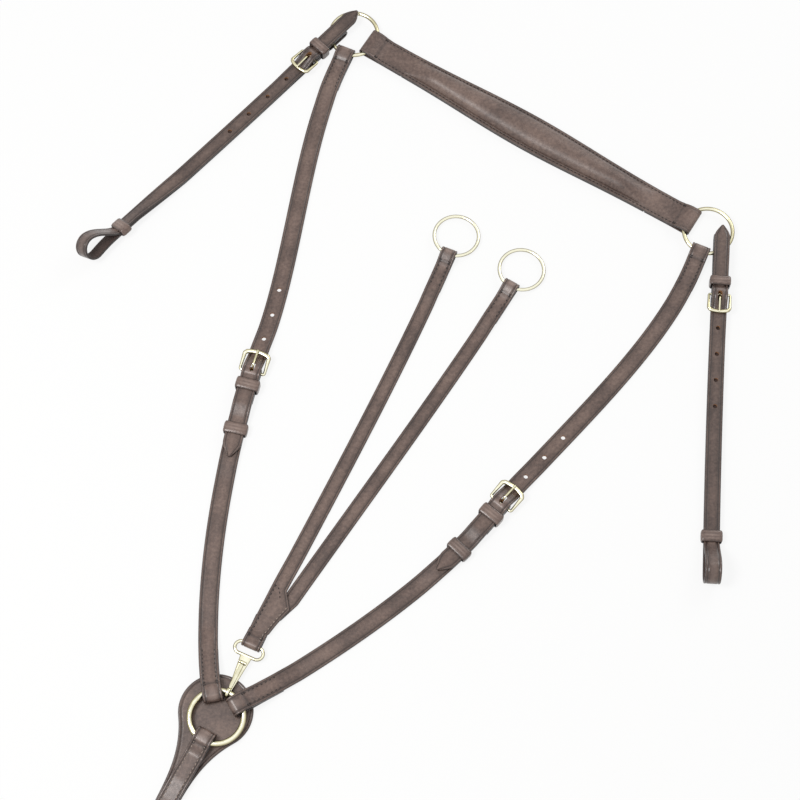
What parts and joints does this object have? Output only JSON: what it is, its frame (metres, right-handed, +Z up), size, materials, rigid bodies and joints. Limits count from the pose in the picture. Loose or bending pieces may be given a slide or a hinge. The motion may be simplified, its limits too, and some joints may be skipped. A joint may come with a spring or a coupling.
{
  "type": "breastplate with running martingale fork",
  "caption": "Leather hunting breastplate laid flat: padded wither strap, buckled shoulder straps, saddle straps, girth strap and a running martingale fork on a snap hook.",
  "frame": {"origin": "on the floor under the centre of the breast ring, on the back of the shield", "axes": "+Y from the breast ring up the neck, +X to the right as laid, +Z up from the floor"},
  "size_m": [0.7566, 1.2156, 0.0322],
  "materials": {
    "leather": "waxed havana-brown bridle leather with a soft sheen",
    "dark_leather": "waxed dark brown leather",
    "padding": "felt filling inside the wither strap",
    "brass": "polished pale brass"
  },
  "bodies": {
    "neck_loop": {"wither_face": "leather", "wither_padding": "padding", "wither_lining": "dark_leather", "left_shoulder_strap": "leather", "left_shoulder_billet": "leather", "left_shoulder_keeper": "dark_leather", "left_shoulder_buckle": "brass", "right_shoulder_strap": "leather", "right_shoulder_billet": "leather", "right_shoulder_keeper": "dark_leather", "right_shoulder_buckle": "brass"},
    "left_wither_ring": {"left_wither_ring": "brass"},
    "right_wither_ring": {"right_wither_ring": "brass"},
    "breast_ring": {"breast_ring": "brass"},
    "left_shoulder_tongue": {"left_shoulder_tongue": "brass"},
    "left_shoulder_runner": {"left_shoulder_runner": "dark_leather"},
    "right_shoulder_tongue": {"right_shoulder_tongue": "brass"},
    "right_shoulder_runner": {"right_shoulder_runner": "dark_leather"},
    "left_saddle_strap": {"left_saddle_strap": "leather", "left_saddle_keeper": "dark_leather", "left_saddle_buckle": "brass"},
    "left_saddle_tongue": {"left_saddle_tongue": "brass"},
    "left_saddle_runner": {"left_saddle_runner": "dark_leather"},
    "right_saddle_strap": {"right_saddle_strap": "leather", "right_saddle_keeper": "dark_leather", "right_saddle_buckle": "brass"},
    "right_saddle_tongue": {"right_saddle_tongue": "brass"},
    "right_saddle_runner": {"right_saddle_runner": "dark_leather"},
    "snap_hook": {"snap_body": "brass", "snap_pin": "brass"},
    "snap_gate": {"snap_gate": "brass"},
    "fork": {"fork_left_branch": "leather", "fork_right_branch": "leather"},
    "left_rein_ring": {"left_rein_ring": "brass"},
    "right_rein_ring": {"right_rein_ring": "brass"},
    "girth_strap": {"girth_strap": "leather", "girth_chape": "leather", "girth_keeper": "dark_leather", "girth_buckle": "brass", "breast_shield": "dark_leather"},
    "girth_tongue": {"girth_tongue": "brass"},
    "girth_runner": {"girth_runner": "dark_leather"}
  },
  "joints": [
    {"name": "left_wither_ring_turn", "type": "hinge", "parent": "neck_loop", "child": "left_wither_ring", "pos_m": [0.12536, 0.73336, 0.0051], "axis": [0, 0, 1], "continuous": true},
    {"name": "right_wither_ring_turn", "type": "hinge", "parent": "neck_loop", "child": "right_wither_ring", "pos_m": [0.49001, 0.50548, 0.0051], "axis": [0, 0, 1], "continuous": true},
    {"name": "breast_ring_turn", "type": "hinge", "parent": "neck_loop", "child": "breast_ring", "pos_m": [0, 0, 0.00915], "axis": [0, 0, 1], "continuous": true},
    {"name": "left_shoulder_tongue_lift", "type": "hinge", "parent": "neck_loop", "child": "left_shoulder_tongue", "pos_m": [0.02589, 0.35071, 0.0062], "axis": [0.9621, -0.2727, 0], "range_deg": [0, 24]},
    {"name": "left_shoulder_runner_slide", "type": "slide", "parent": "neck_loop", "child": "left_shoulder_runner", "axis": [0.2074, 0.9782, 0], "range_m": [-0.018, 0.005]},
    {"name": "right_shoulder_tongue_lift", "type": "hinge", "parent": "neck_loop", "child": "right_shoulder_tongue", "pos_m": [0.27295, 0.21255, 0.0062], "axis": [0.761, -0.6487, 0], "range_deg": [0, 24]},
    {"name": "right_shoulder_runner_slide", "type": "slide", "parent": "neck_loop", "child": "right_shoulder_runner", "axis": [0.7113, 0.7029, 0], "range_m": [-0.018, 0.005]},
    {"name": "left_saddle_strap_swing", "type": "hinge", "parent": "neck_loop", "child": "left_saddle_strap", "pos_m": [0.12536, 0.73336, 0.0051], "axis": [0, 0, 1], "range_deg": [-45, 8]},
    {"name": "left_saddle_tongue_lift", "type": "hinge", "parent": "left_saddle_strap", "child": "left_saddle_tongue", "pos_m": [0.07946, 0.70519, 0.00815], "axis": [-0.7267, 0.6869, 0], "range_deg": [0, 24]},
    {"name": "left_saddle_runner_slide", "type": "slide", "parent": "left_saddle_strap", "child": "left_saddle_runner", "axis": [-0.7042, -0.71, 0], "range_m": [-0.012, 0]},
    {"name": "right_saddle_strap_swing", "type": "hinge", "parent": "neck_loop", "child": "right_saddle_strap", "pos_m": [0.49001, 0.50548, 0.0051], "axis": [0, 0, 1], "range_deg": [-5, 45]},
    {"name": "right_saddle_tongue_lift", "type": "hinge", "parent": "right_saddle_strap", "child": "right_saddle_tongue", "pos_m": [0.49785, 0.43354, 0.00815], "axis": [-0.9963, 0.086, 0], "range_deg": [0, 24]},
    {"name": "right_saddle_runner_slide", "type": "slide", "parent": "right_saddle_strap", "child": "right_saddle_runner", "axis": [-0.0619, -0.9981, 0], "range_m": [-0.06, 0]},
    {"name": "snap_hook_lift", "type": "hinge", "parent": "neck_loop", "child": "snap_hook", "pos_m": [0.01047, 0.02352, 0.00915], "axis": [0.9135, -0.4067, 0], "range_deg": [0, 75]},
    {"name": "snap_gate_open", "type": "hinge", "parent": "snap_hook", "child": "snap_gate", "pos_m": [0.02349, 0.05276, 0.00795], "axis": [0.9135, -0.4067, 0], "range_deg": [0, 8], "stiffness_Nm_per_rad": 0.02, "springref_deg": -17.19},
    {"name": "fork_lift", "type": "hinge", "parent": "snap_hook", "child": "fork", "pos_m": [0.03162, 0.07103, 0.00475], "axis": [0.9135, -0.4067, 0], "range_deg": [0, 75]},
    {"name": "left_rein_ring_flip", "type": "hinge", "parent": "fork", "child": "left_rein_ring", "pos_m": [0.22358, 0.48032, 0.00524], "axis": [0.9245, -0.3811, 0], "range_deg": [0, 150]},
    {"name": "right_rein_ring_flip", "type": "hinge", "parent": "fork", "child": "right_rein_ring", "pos_m": [0.28654, 0.44436, 0.00524], "axis": [0.8517, -0.524, 0], "range_deg": [0, 150]},
    {"name": "girth_strap_swing", "type": "hinge", "parent": "neck_loop", "child": "girth_strap", "pos_m": [0, 0, 0.00915], "axis": [0, 0, 1], "range_deg": [-25, 25]},
    {"name": "girth_tongue_lift", "type": "hinge", "parent": "girth_strap", "child": "girth_tongue", "pos_m": [-0.13517, -0.25088, 0.00875], "axis": [-0.8931, 0.4498, 0], "range_deg": [0, 24]},
    {"name": "girth_runner_slide", "type": "slide", "parent": "girth_strap", "child": "girth_runner", "axis": [-0.4605, -0.8876, 0], "range_m": [-0.018, 0.004]}
  ]
}
